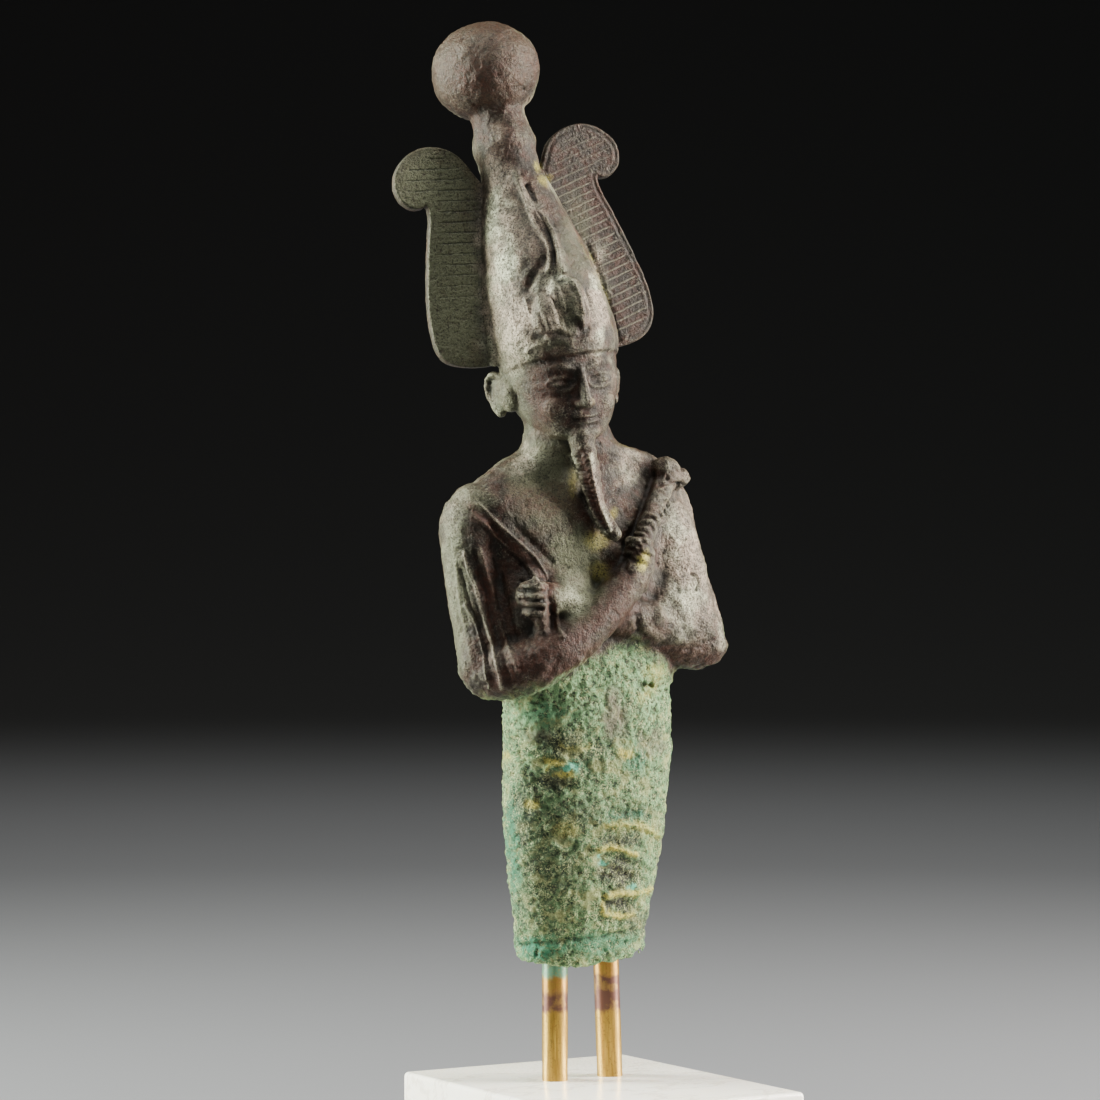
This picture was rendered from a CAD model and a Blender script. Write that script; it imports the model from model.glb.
"""The finished look of the bronze figure on its two brass rods and white stone block."""
import math

import bmesh
import bpy
import numpy as np
from mathutils import Matrix, Vector, noise


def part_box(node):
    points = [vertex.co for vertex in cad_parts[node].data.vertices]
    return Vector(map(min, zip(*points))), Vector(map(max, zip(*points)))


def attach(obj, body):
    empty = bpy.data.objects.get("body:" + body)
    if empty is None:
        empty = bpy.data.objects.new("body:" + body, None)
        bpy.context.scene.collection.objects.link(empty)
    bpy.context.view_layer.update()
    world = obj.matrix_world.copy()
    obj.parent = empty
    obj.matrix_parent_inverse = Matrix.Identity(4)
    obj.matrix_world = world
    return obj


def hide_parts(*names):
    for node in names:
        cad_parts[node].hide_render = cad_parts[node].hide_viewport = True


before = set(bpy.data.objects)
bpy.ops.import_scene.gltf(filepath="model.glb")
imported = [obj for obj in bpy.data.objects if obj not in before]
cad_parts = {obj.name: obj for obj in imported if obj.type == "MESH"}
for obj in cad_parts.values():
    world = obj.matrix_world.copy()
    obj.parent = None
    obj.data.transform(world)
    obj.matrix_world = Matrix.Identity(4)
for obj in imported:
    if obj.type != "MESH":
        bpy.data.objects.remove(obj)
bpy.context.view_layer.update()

# Places taken from the frame, in metres
BLOCK_LOW, BLOCK_HIGH = (Vector(corner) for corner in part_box("stone_block"))
ROD_LOW, ROD_HIGH = (Vector(corner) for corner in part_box("brass_rod_right"))
ROD_RADIUS = (ROD_HIGH.x - ROD_LOW.x) / 2
ROD_SPACING = -(ROD_LOW.x + ROD_HIGH.x)
RODS_Y = (ROD_LOW.y + ROD_HIGH.y) / 2
BLOCK_TOP = BLOCK_HIGH.z
ROD_IN_FIGURE = 0.010
ROD_IN_BLOCK = BLOCK_TOP - ROD_LOW.z
ROD_SHOWING = ROD_HIGH.z - ROD_IN_FIGURE - BLOCK_TOP
LEFT_ROD_LEAN = math.radians(2.3)
BLOCK_EDGE = 0.0009

# The photograph's camera: pixels of its 1100 x 1100 frame, and metres
PHOTO_SIZE = 1100
PHOTO_MIDDLE = PHOTO_SIZE / 2
FOCAL_PIXELS = 3771.0
METRES_PER_PIXEL = 0.00019
VIEW_AZIMUTH = math.radians(-31.5)
RODS_PIXEL_X = 582.5
BLOCK_TOP_PIXEL_Y = 1077.7
SENSOR_MM = 36.0

VIEW_RIGHT = np.array((math.cos(VIEW_AZIMUTH), math.sin(VIEW_AZIMUTH), 0.0))
VIEW_FORWARD = np.array((-math.sin(VIEW_AZIMUTH), math.cos(VIEW_AZIMUTH), 0.0))
VIEW_UP = np.array((0.0, 0.0, 1.0))
CAMERA_PLACE = (
    np.array((0.0, RODS_Y, BLOCK_TOP + (BLOCK_TOP_PIXEL_Y - PHOTO_MIDDLE) * METRES_PER_PIXEL))
    - VIEW_FORWARD * FOCAL_PIXELS * METRES_PER_PIXEL
    - VIEW_RIGHT * (RODS_PIXEL_X - PHOTO_MIDDLE) * METRES_PER_PIXEL
)

# The figure is laid out upright in parts of its height. At 178 mm a part is a millimetre
FIGURE_HEIGHT = 0.178
PARTS_HIGH = 178.0
PART = FIGURE_HEIGHT / PARTS_HIGH
FIGURE_FOOT = np.array((0.0, RODS_Y, BLOCK_TOP + ROD_SHOWING))
HEAD_TURN = math.radians(-10)
NECK_START = 92.0
NECK_END = 100.0
GRAIN = 0.25
SOFTENING = 5
JOIN_SOFTENING = 26
FACES_KEPT = 196000

# The bent centre line of the cast: height, sideways and backwards
SPINE = (
    (0, -0.8, 0.0),
    (27.5, -1.8, -3.3),
    (49.5, -3.2, -6.0),
    (67.5, -4.9, -7.0),
    (87.5, -7.2, -7.6),
    (101, -8.7, -8.0),
    (115, -10.6, -8.0),
    (130, -12.9, -4.3),
    (154, -16.7, 1.2),
    (169, -18.9, 4.7),
    (178, -20.2, 6.9),
)

# Rings of a form: height, half width, reach to the front, reach to the back, squareness
BODY_RINGS = (
    (0, 12.9, 7.7, 7.6, 2.3),
    (7, 13.5, 8.2, 8.1, 2.3),
    (20.5, 15.7, 9.6, 9.0, 2.3),
    (34, 16.9, 10.4, 9.4, 2.3),
    (45, 17.1, 10.4, 9.2, 2.4),
    (52, 17.4, 10.2, 9.0, 2.4),
    (58, 20.4, 9.8, 8.8, 2.7),
    (68, 20.8, 9.8, 8.6, 3.0),
    (78, 21.2, 9.4, 8.4, 2.8),
    (85, 22.5, 8.6, 7.6, 2.5),
    (89.5, 23.0, 7.0, 6.6, 2.4),
    (92.5, 20.0, 6.0, 6.0, 2.2),
    (95, 15.2, 6.4, 6.2, 2.1),
    (97, 10.4, 6.8, 6.6, 2.0),
    (100, 8.4, 6.9, 7.2, 2.0),
    (106, 8.1, 6.4, 7.6, 2.0),
)
HEAD_RINGS = (
    (98.4, 2.6, 7.8, -3.6, 2.0),
    (99.2, 5.0, 9.2, 1.0, 2.1),
    (101, 7.0, 9.9, 5.4, 2.2),
    (104, 8.8, 10.3, 8.8, 2.2),
    (108, 10.0, 10.3, 10.4, 2.2),
    (112, 10.6, 10.3, 10.9, 2.1),
    (118, 10.6, 10.3, 10.8, 2.0),
)
CROWN_RINGS = (
    (113.6, 11.2, 11.3, 11.4, 2.0),
    (115.2, 11.6, 11.6, 11.6, 2.0),
    (122.4, 11.1, 11.1, 11.1, 2.0),
    (129.8, 10.3, 10.4, 10.4, 2.0),
    (136.3, 8.8, 8.9, 8.9, 2.0),
    (143.1, 7.0, 7.1, 7.1, 2.0),
    (147.9, 5.7, 5.7, 5.7, 2.0),
    (150.9, 5.5, 5.5, 5.5, 2.0),
    (153.8, 6.0, 6.0, 6.0, 2.0),
    (157.4, 5.2, 5.2, 5.2, 2.0),
    (162.0, 5.4, 5.4, 5.4, 2.0),
)
CROWN_BRIM_DROP = 5.5
FORM_SIDES = 128

BALL = (0.0, 0.0, 167.7, 10.15, 10.15, 9.03)

# A feather's outline, sideways and up, from the crown over the curl and down the outer edge
FEATHER_OUTLINE = (
    (5.0, 146.0),
    (7.4, 150.5),
    (9.2, 153.4),
    (12.0, 155.2),
    (15.8, 155.9),
    (19.3, 154.9),
    (21.9, 152.6),
    (23.0, 149.8),
    (22.3, 147.0),
    (20.4, 145.4),
    (18.4, 145.2),
    (17.4, 145.6),
    (17.6, 143.0),
    (18.7, 139.5),
    (20.0, 135.0),
    (21.3, 130.0),
    (22.2, 125.5),
    (22.4, 121.5),
    (21.9, 118.5),
    (20.2, 116.1),
    (16.4, 114.5),
    (9.0, 113.8),
)
FEATHER_ROOT = (
    (4.6, 0.4, 148.5, 0.9),
    (6.9, 1.2, 139.0, 1.2),
    (9.7, 1.8, 128.0, 1.3),
    (11.9, 2.2, 115.0, 1.2),
)
FEATHER_THICKNESS = 2.0
FEATHERS_FROM = 113.2
FEATHERS_TO = 157
FEATHER_SET_BACK_LOW = 4.0
FEATHER_SET_BACK_HIGH = 1.4

# Tubes: sideways, backwards, height and radius at each point
RIGHT_UPPER_ARM = (
    (-20.4, 0.8, 87.4, 5.0),
    (-21.6, 1.0, 84.0, 6.0),
    (-21.8, 0.6, 73.0, 5.8),
    (-21.4, -1.8, 59.4, 6.0),
)
LEFT_UPPER_ARM = (
    (19.0, 0.8, 87.2, 4.8),
    (20.2, 1.0, 84.0, 5.8),
    (21.8, 0.6, 73.0, 5.8),
    (23.8, -1.8, 60.0, 5.9),
)
RIGHT_FOREARM = (
    (-21.0, -2.2, 58.2, 6.0),
    (-19.0, -7.0, 58.2, 5.6),
    (-13.0, -10.6, 60.6, 4.9),
    (-4.0, -11.9, 66.2, 4.2),
    (4.4, -12.4, 73.0, 3.1),
    (6.4, -12.0, 76.4, 2.8),
)
LEFT_FOREARM = (
    (23.2, -2.2, 58.8, 5.8),
    (19.5, -5.2, 59.4, 5.2),
    (10.0, -8.2, 63.4, 4.3),
    (-4.0, -9.6, 67.6, 3.8),
    (-12.0, -9.8, 70.2, 3.1),
    (-16.6, -9.8, 71.4, 3.0),
)
CROOK_SHAFT = (
    (-15.6, -11.4, 63.4, 1.2),
    (-15.8, -11.6, 68.0, 1.3),
    (-15.6, -10.6, 72.6, 1.2),
)
FLAIL = (
    (5.6, -13.0, 70.8, 1.1),
    (6.6, -12.2, 76.0, 1.6),
    (9.6, -10.2, 81.2, 1.9),
    (14.0, -8.0, 86.4, 2.1),
    (18.0, -6.0, 90.0, 2.3),
)
BEARD = (
    (-0.4, -8.2, 100.4, 2.5),
    (-0.9, -8.6, 96.6, 2.2),
    (-1.2, -9.0, 92.4, 2.0),
    (-1.0, -9.8, 87.5, 1.8),
    (0.0, -10.8, 83.5, 1.5),
    (1.2, -12.2, 80.8, 1.1),
)
COBRA_TAIL = (
    (0.4, -10.6, 125.0, 1.6),
    (1.0, -9.9, 130.5, 1.4),
    (0.4, -8.6, 136.0, 1.2),
    (-0.8, -6.9, 141.5, 1.1),
    (-1.6, -5.6, 147.0, 0.8),
)
EAR_RIM = (
    (11.2, 1.8, 111.6, 0.6),
    (12.1, 3.4, 112.4, 0.7),
    (12.6, 5.6, 111.2, 0.75),
    (12.5, 5.8, 108.4, 0.7),
    (12.0, 4.2, 105.8, 0.7),
    (11.4, 2.8, 104.6, 0.8),
)
BROW = (
    (1.4, -10.1, 111.2, 0.5),
    (3.6, -9.75, 112.0, 0.6),
    (6.0, -8.4, 111.8, 0.55),
    (7.8, -6.5, 110.9, 0.4),
)
NOSE = (
    (0.0, -9.8, 111.4, 0.9),
    (0.0, -10.5, 109.0, 0.95),
    (0.0, -11.3, 106.6, 1.05),
    (0.0, -11.5, 105.6, 1.15),
)

# The broad upper arm: height, middle sideways, half width, reach to the front and back, squareness
LEFT_ARM_RINGS = (
    (54.2, 21.0, 5.8, 8.0, 1.6, 2.2),
    (56.5, 20.6, 7.6, 10.2, 3.2, 2.5),
    (61.0, 19.3, 7.5, 11.6, 4.0, 2.5),
    (66.0, 18.4, 7.0, 11.6, 4.4, 2.5),
    (72.0, 17.9, 6.8, 10.6, 4.6, 2.5),
    (78.0, 17.5, 6.6, 9.0, 4.8, 2.4),
    (84.0, 16.8, 6.2, 7.2, 4.8, 2.3),
    (88.5, 15.6, 4.8, 5.6, 4.2, 2.2),
)

# Rounded lumps: sideways, backwards and height of the middle, then half width, depth and height
RIGHT_SLAB = (-14.6, -3.2, 67.0, 7.0, 7.4, 13.0)
WRIST_MOUND = (-7.6, -7.8, 70.2, 6.8, 3.8, 5.8)
SHAFT_SEAT = (-13.4, -8.4, 65.6, 4.2, 3.4, 4.0)
ELBOW_HOLLOW_LUMP = (9.4, -11.4, 64.8, 1.7, 2.0, 2.0)
SLAB_FOOT = (15.2, -6.7, 64.6, 6.8, 5.3, 8.0)
CHEST_SEAT = (1.8, -8.3, 74.0, 5.4, 3.0, 5.4)
SEATS = (WRIST_MOUND, SHAFT_SEAT, ELBOW_HOLLOW_LUMP, SLAB_FOOT, CHEST_SEAT)
FLAIL_TOP = ((17.4, -5.8, 91.2, 2.9, 2.8, 2.4), (20.6, -5.0, 89.2, 2.6, 2.8, 2.3))
COBRA = (
    (1.0, -10.8, 120.8, 2.7, 2.4, 4.7),
    (-4.7, -9.9, 119.4, 2.5, 2.3, 3.7),
    (-1.9, -10.7, 121.4, 1.3, 2.0, 4.2),
    (-2.0, -9.8, 117.6, 3.8, 2.0, 2.6),
)
EAR = (11.3, 3.6, 108.8, 1.0, 2.3, 3.6)
EAR_ROOT = (9.9, 1.8, 108.4, 2.2, 3.4, 3.8)
EYE = (3.9, -8.55, 109.1, 2.3, 1.35, 1.1)
CHEEK = (3.9, -6.5, 105.4, 3.5, 3.3, 3.6)
NOSTRIL = (1.15, -10.5, 105.5, 0.85, 1.0, 0.8)
MOUTH_AND_CHIN = (
    (0.0, -9.7, 103.0, 2.6, 1.1, 0.62),
    (0.0, -9.6, 101.8, 2.2, 1.2, 0.7),
    (0.0, -8.6, 99.9, 3.2, 1.9, 1.6),
)
MOUTH_LINE_HEIGHT = 102.4

# Fists: the palm, then four fingers one above the other
LEFT_PALM = (-16.4, -10.7, 70.9, 2.2, 1.8, 4.0)
LEFT_FINGER_HEIGHTS = (73.2, 71.6, 70.0, 68.5)
LEFT_FINGER = ((-18.3, -10.4), (-17.7, -11.9), (-16.1, -12.7), (-14.6, -11.7))
RIGHT_PALM = (6.4, -12.2, 76.4, 1.9, 2.1, 3.2)
RIGHT_FINGER_HEIGHTS = (78.8, 77.2, 75.6, 74.0)
RIGHT_FINGER = ((4.2, -12.2), (4.9, -13.5), (6.5, -14.0), (8.0, -12.9))
FINGER_RADIUS = 0.92


# The bend of the cast and the photograph's view
def smooth_values(heights, stations, column):
    """The value in one column of the stations at each height, on a smooth curve through them."""
    known = np.array([station[0] for station in stations], dtype=float)
    values = np.array([station[column] for station in stations], dtype=float)
    slopes = np.gradient(values, known)
    index = np.clip(np.searchsorted(known, heights) - 1, 0, len(known) - 2)
    span = known[index + 1] - known[index]
    share = (heights - known[index]) / span
    share_2 = share * share
    share_3 = share_2 * share
    return (
        (2 * share_3 - 3 * share_2 + 1) * values[index]
        + (share_3 - 2 * share_2 + share) * span * slopes[index]
        + (3 * share_2 - 2 * share_3) * values[index + 1]
        + (share_3 - share_2) * span * slopes[index + 1]
    )


def posed(points):
    """Points of the upright figure, in parts, moved to their place on the bent cast, in metres."""
    height = np.clip(points[:, 2], 0, PARTS_HIGH)
    turn_share = np.clip((height - NECK_START) / (NECK_END - NECK_START), 0, 1)
    turn = HEAD_TURN * turn_share * turn_share * (3 - 2 * turn_share)
    sideways = points[:, 0] * np.cos(turn) - points[:, 1] * np.sin(turn)
    backwards = points[:, 0] * np.sin(turn) + points[:, 1] * np.cos(turn)
    step = 0.5
    above = np.minimum(height + step, PARTS_HIGH)
    below = np.maximum(height - step, 0)
    centre = np.stack([smooth_values(height, SPINE, 1), smooth_values(height, SPINE, 2), points[:, 2]], 1)
    lean = np.stack(
        [
            (smooth_values(above, SPINE, 1) - smooth_values(below, SPINE, 1)) / (above - below),
            (smooth_values(above, SPINE, 2) - smooth_values(below, SPINE, 2)) / (above - below),
            np.ones(len(points)),
        ],
        1,
    )
    up = lean / np.linalg.norm(lean, axis=1, keepdims=True)
    across = np.stack([up[:, 2], np.zeros(len(points)), -up[:, 0]], 1)
    across /= np.linalg.norm(across, axis=1, keepdims=True)
    behind = np.cross(up, across)
    placed = centre + across * sideways[:, None] + behind * backwards[:, None]
    return placed * PART + FIGURE_FOOT


def to_photo(points):
    """The photograph's pixel of each point."""
    away = points - CAMERA_PLACE
    depth = away @ VIEW_FORWARD
    across = PHOTO_MIDDLE + FOCAL_PIXELS * (away @ VIEW_RIGHT) / depth
    down = PHOTO_MIDDLE - FOCAL_PIXELS * (away @ VIEW_UP) / depth
    return np.stack([across, down], 1)


# Forms of the upright figure
def bridge_rings(shape, rings):
    loops = [[shape.verts.new(point) for point in ring] for ring in rings]
    count = len(loops[0])
    for low, high in zip(loops, loops[1:]):
        for i in range(count):
            following = (i + 1) % count
            shape.faces.new((low[i], low[following], high[following], high[i]))
    shape.faces.new(reversed(loops[0]))
    shape.faces.new(loops[-1])


def rounded(value, squareness):
    return math.copysign(abs(value) ** (2 / squareness), value)


def ring_points(height, half_width, front, back, squareness, drop=0):
    """One ring, wider than deep. Its height falls by drop towards the back."""
    middle = (back - front) / 2
    half_depth = (back + front) / 2
    points = []
    for i in range(FORM_SIDES):
        angle = 2 * math.pi * i / FORM_SIDES
        lower = drop * ((1 + math.sin(angle)) / 2) ** 2
        x = half_width * rounded(math.cos(angle), squareness)
        y = middle + half_depth * rounded(math.sin(angle), squareness)
        points.append((x, y, height - lower))
    return points


def lofted(stations, steps=12):
    heights = [station[0] for station in stations]
    wanted = []
    for low, high in zip(heights, heights[1:]):
        wanted += [low + (high - low) * i / steps for i in range(steps)]
    wanted.append(heights[-1])
    wanted = np.array(wanted)
    columns = [smooth_values(wanted, stations, column) for column in range(1, 5)]
    return [ring_points(height, *values) for height, *values in zip(wanted, *columns)]


def broken_edge(x, y):
    """The uneven height of the break across the knees, which runs up towards the left."""
    rise = 1.9 * min(max((x - 3.0) / 8.0, 0), 1)
    return 0.5 * math.sin(0.55 * x + 0.8) + 0.35 * math.sin(0.9 * y - 0.4 * x) + 0.6 + rise


def add_ball(shape, middle, radii, sides=48):
    rings = []
    for i in range(1, sides // 2):
        rise = math.pi * i / (sides // 2) - math.pi / 2
        level = middle[2] + radii[2] * math.sin(rise)
        ring = []
        for j in range(sides):
            angle = 2 * math.pi * j / sides
            x = middle[0] + radii[0] * math.cos(rise) * math.cos(angle)
            y = middle[1] + radii[1] * math.cos(rise) * math.sin(angle)
            ring.append((x, y, level))
        rings.append(ring)
    bridge_rings(shape, rings)


def add_lumps(shape, lumps):
    for lump in lumps:
        add_ball(shape, lump[:3], lump[3:])


def add_tube(shape, stations, sides=28, steps=12, relief=None):
    """A round tube on a smooth path. relief, of angle and travelled length, multiplies its radius."""
    positions = [(i, *station) for i, station in enumerate(stations)]
    wanted = np.linspace(0, len(stations) - 1, (len(stations) - 1) * steps + 1)
    path = np.stack([smooth_values(wanted, positions, column) for column in (1, 2, 3)], 1)
    radii = smooth_values(wanted, positions, 4)
    travelled = np.concatenate([[0], np.cumsum(np.linalg.norm(np.diff(path, axis=0), axis=1))])
    directions = np.gradient(path, axis=0)
    side = Vector(directions[0]).orthogonal()
    rings = []
    for point, direction, radius, length in zip(path, directions, radii, travelled):
        forward = Vector(direction).normalized()
        side = (side - forward * side.dot(forward)).normalized()
        other = forward.cross(side)
        ring = []
        for i in range(sides):
            angle = 2 * math.pi * i / sides
            share = relief(angle, length) if relief else 1.0
            outward = side * math.cos(angle) + other * math.sin(angle)
            ring.append(Vector(point) + outward * float(radius) * share)
        rings.append(ring)
    bridge_rings(shape, rings)
    add_ball(shape, path[0], (radii[0],) * 3, 24)
    add_ball(shape, path[-1], (radii[-1],) * 3, 24)


def feather_set_back(up):
    lowest = min(height for _, height in FEATHER_OUTLINE)
    highest = max(height for _, height in FEATHER_OUTLINE)
    share = (up - lowest) / (highest - lowest)
    return FEATHER_SET_BACK_LOW + (FEATHER_SET_BACK_HIGH - FEATHER_SET_BACK_LOW) * share


def feather_edge():
    """The outline as a dense smooth line."""
    corners = [(i, *corner) for i, corner in enumerate(FEATHER_OUTLINE)]
    wanted = np.linspace(0, len(corners) - 1, 6 * len(corners))
    return np.stack([smooth_values(wanted, corners, 1), smooth_values(wanted, corners, 2)], 1)


def add_feather(shape, side):
    outline = feather_edge() if side > 0 else feather_edge()[::-1]
    faces = []
    for face_offset in (-FEATHER_THICKNESS / 2, FEATHER_THICKNESS / 2):
        corners = [(side * across, feather_set_back(up) + face_offset, up) for across, up in outline]
        faces.append([shape.verts.new(corner) for corner in corners])
    front, behind = faces
    shape.faces.new(reversed(front))
    shape.faces.new(behind)
    for i in range(len(front)):
        following = (i + 1) % len(front)
        shape.faces.new((front[i], front[following], behind[following], behind[i]))


def mirrored(lump, side):
    return (side * lump[0], *lump[1:])


def add_fist(shape, palm, finger, heights):
    add_ball(shape, palm[:3], palm[3:])
    lift = (0.4, 0.25, 0.0, -0.3)
    for height, size in zip(heights, (0.88, 1.0, 0.98, 0.86)):
        path = [(x, y, height + rise, FINGER_RADIUS * size) for (x, y), rise in zip(finger, lift)]
        add_tube(shape, path, sides=16, steps=6)


def braid(angle, length):
    """Plaits of the beard: strands that wind both ways."""
    turns = 2.9 * length
    return 1 + 0.035 * math.sin(2 * angle + turns) + 0.03 * math.sin(3 * angle - turns)


def beads(angle, length):
    """The flail's strands: three side by side, with worn beads on them."""
    strands = 0.10 * abs(math.sin(1.5 * angle + 0.4))
    worn = 0.7 * math.sin(0.8 * length)
    return 0.95 + strands + 0.05 * math.sin(3.4 * length + 1.1 * math.sin(3 * angle) + worn)


def add_limb(shape, stations):
    """An upright limb whose middle moves sideways with its height."""
    for_loft = [(height, *rest) for height, _, *rest in stations]
    rings = []
    for ring in lofted(for_loft):
        shift = float(smooth_values(np.array([ring[0][2]]), stations, 1)[0])
        rings.append([(x + shift, y, height) for x, y, height in ring])
    bridge_rings(shape, rings)


def upright_figure():
    """Every form of the cast, overlapping as they join, upright and in parts."""
    shape = bmesh.new()
    rings = lofted(BODY_RINGS)
    rings[0] = [(x, y, broken_edge(x, y)) for x, y, _ in rings[0]]
    bridge_rings(shape, rings)
    bridge_rings(shape, lofted(HEAD_RINGS))
    rings = lofted(CROWN_RINGS)
    rings[0] = ring_points(*CROWN_RINGS[0], drop=CROWN_BRIM_DROP)
    bridge_rings(shape, rings)
    add_lumps(shape, (BALL, RIGHT_SLAB, *SEATS, *FLAIL_TOP, *COBRA, *MOUTH_AND_CHIN))
    add_limb(shape, LEFT_ARM_RINGS)
    for side in (-1, 1):
        add_feather(shape, side)
        for path in (FEATHER_ROOT, EAR_RIM, BROW):
            add_tube(shape, [mirrored(point, side) for point in path])
        add_lumps(shape, [mirrored(lump, side) for lump in (EAR, EAR_ROOT, EYE, CHEEK, NOSTRIL)])
    for path in (RIGHT_UPPER_ARM, LEFT_UPPER_ARM, RIGHT_FOREARM, LEFT_FOREARM, CROOK_SHAFT, COBRA_TAIL, NOSE):
        add_tube(shape, path)
    add_tube(shape, FLAIL, steps=30, relief=beads)
    add_tube(shape, BEARD, steps=30, relief=braid)
    add_fist(shape, LEFT_PALM, LEFT_FINGER, LEFT_FINGER_HEIGHTS)
    add_fist(shape, RIGHT_PALM, RIGHT_FINGER, RIGHT_FINGER_HEIGHTS)
    bmesh.ops.recalc_face_normals(shape, faces=shape.faces)
    bmesh.ops.triangulate(shape, faces=[face for face in shape.faces if len(face.verts) > 4])
    mesh = bpy.data.meshes.new("upright_figure")
    shape.to_mesh(mesh)
    shape.free()
    return mesh


# Working on a mesh
def add_object(name, mesh, material=None):
    thing = bpy.data.objects.new(name, mesh)
    bpy.context.scene.collection.objects.link(thing)
    if material:
        mesh.materials.clear()
        mesh.materials.append(material)
    return thing


def applied(mesh, name, kind, **settings):
    """The mesh with one modifier applied."""
    thing = add_object(name, mesh)
    modifier = thing.modifiers.new(name, kind)
    for key, value in settings.items():
        setattr(modifier, key, value)
    result = bpy.data.meshes.new_from_object(thing.evaluated_get(bpy.context.evaluated_depsgraph_get()))
    bpy.data.objects.remove(thing, do_unlink=True)
    bpy.data.meshes.remove(mesh)
    return result


def read_points(mesh):
    points = np.empty(len(mesh.vertices) * 3)
    mesh.vertices.foreach_get("co", points)
    return points.reshape(-1, 3)


def read_normals(mesh):
    normals = np.empty(len(mesh.vertices) * 3)
    mesh.vertices.foreach_get("normal", normals)
    return normals.reshape(-1, 3)


def write_points(mesh, points):
    mesh.vertices.foreach_set("co", points.ravel())
    mesh.update()


def read_edges(mesh):
    edges = np.empty(len(mesh.edges) * 2, dtype=np.int64)
    mesh.edges.foreach_get("vertices", edges)
    return edges.reshape(-1, 2)


def neighbour_mean(values, edges):
    """The mean of each vertex's neighbours."""
    count = np.bincount(edges.ravel(), minlength=len(values))
    columns = values.reshape(len(values), -1)
    total = np.empty_like(columns)
    for column in range(columns.shape[1]):
        total[:, column] = np.bincount(edges[:, 0], columns[edges[:, 1], column], len(values))
        total[:, column] += np.bincount(edges[:, 1], columns[edges[:, 0], column], len(values))
    return (total / np.maximum(count, 1)[:, None]).reshape(values.shape)


def blurred(values, edges, times):
    for _ in range(times):
        values = 0.5 * values + 0.5 * neighbour_mean(values, edges)
    return values


def cloud(points, size, seed):
    """Smooth noise from about -1 to 1, with lumps of about that size."""
    shift = Vector((seed * 17.31, seed * 5.77, seed * 11.13))
    scale = 1 / size
    return np.array([noise.noise(Vector(point) * scale + shift) for point in points])


def ramp(values, low, high):
    share = np.clip((values - low) / (high - low), 0, 1)
    return share * share * (3 - 2 * share)


def bell(distance, width):
    return np.exp(-((distance / width) ** 2))


def distance_to_line(points, line):
    """Each point's distance to a broken line."""
    nearest = np.full(len(points), np.inf)
    for start, end in zip(line, line[1:]):
        start = np.array(start, dtype=float)
        run = np.array(end, dtype=float) - start
        share = np.clip(((points - start) @ run) / (run @ run), 0, 1)
        nearest = np.minimum(nearest, np.linalg.norm(points - start - share[:, None] * run, axis=1))
    return nearest


def stroke_distance(pixels, line, width):
    """Each pixel's distance to a stroke of that half width, or infinity well beyond it."""
    corners = np.array(line, dtype=float)
    reach = 3 * width + 2
    near = np.all((pixels > corners.min(axis=0) - reach) & (pixels < corners.max(axis=0) + reach), axis=1)
    distance = np.full(len(pixels), np.inf)
    distance[near] = distance_to_line(pixels[near], line)
    return distance


def patches(pixels, spots):
    total = np.zeros(len(pixels))
    for across, down, wide, high, strength in spots:
        reach = np.hypot((pixels[:, 0] - across) / wide, (pixels[:, 1] - down) / high)
        total = np.maximum(total, strength * ramp(-reach, -1.4, -0.4))
    return total


# Relief that is seen in the photograph: a line of its pixels, half width in pixels and depth in parts
ARM_RIDGES = (
    (
        ((464, 552), (469, 573), (475, 587), (480, 605), (485, 623), (492, 643), (497, 665), (502, 688)),
        1.5,
        0.5,
    ),
    (((465, 605), (473, 617), (478, 633), (484, 655), (487, 674), (490, 687)), 1.5, 0.5),
    (((480, 549), (486, 573), (493, 595), (498, 617), (503, 636), (512, 655), (518, 671)), 2.4, 0.45),
    (((455, 560), (459, 590), (463, 620), (470, 650), (477, 678)), 2.0, 0.2),
    (((461, 570), (466, 590), (472, 610), (478, 626), (484, 646), (490, 668)), 1.6, -0.3),
    (((474, 552), (480, 575), (487, 595), (491, 615), (497, 637), (504, 660), (508, 683)), 2.0, -0.35),
    (((474, 623), (481, 646), (486, 664)), 1.6, -0.3),
    (((492, 548), (501, 580), (508, 612), (517, 640), (530, 662)), 3.4, -0.2),
    (((449, 540), (452, 570), (456, 602), (461, 632)), 1.8, -0.16),
)
CHEST_STROKES = (
    (((655, 466), (648, 490), (640, 512), (630, 536), (620, 560)), 3.2, -0.3),
    (((493, 526), (503, 539), (514, 554), (524, 564)), 3.0, -0.55),
    (((515, 524), (535, 545), (552, 562)), 3.0, -0.4),
    (((548, 584), (551, 604), (553, 626)), 3.2, -0.5),
    (((556, 612), (558, 628), (563, 636)), 2.2, 0.45),
    (((592, 566), (596, 584), (592, 602)), 3.4, -0.3),
    (((636, 634), (660, 645), (690, 650), (712, 640)), 3.0, -0.3),
    (((692, 574), (698, 577), (699, 584), (696, 590)), 1.4, -0.45),
    (((638, 616), (640, 632)), 3.4, -0.6),
    (((628, 556), (624, 566), (630, 574)), 2.2, -0.35),
    (((630, 548), (650, 556)), 1.6, -0.3),
    (((632, 560), (648, 566)), 1.6, -0.3),
    (((521, 581), (546, 583)), 1.5, -0.5),
    (((519, 590), (546, 592)), 1.5, -0.5),
    (((520, 600), (545, 601)), 1.5, -0.5),
    (((523, 609), (543, 609)), 1.5, -0.45),
    (((573, 455), (581, 480), (589, 503), (598, 524), (608, 536)), 1.7, 0.3),
    (((588, 455), (593, 480), (600, 508), (611, 532)), 1.7, 0.3),
    (((580, 455), (587, 480), (595, 506), (605, 528)), 2.2, -0.25),
    (((658, 484), (672, 482), (684, 486)), 1.8, -0.45),
)
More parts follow.
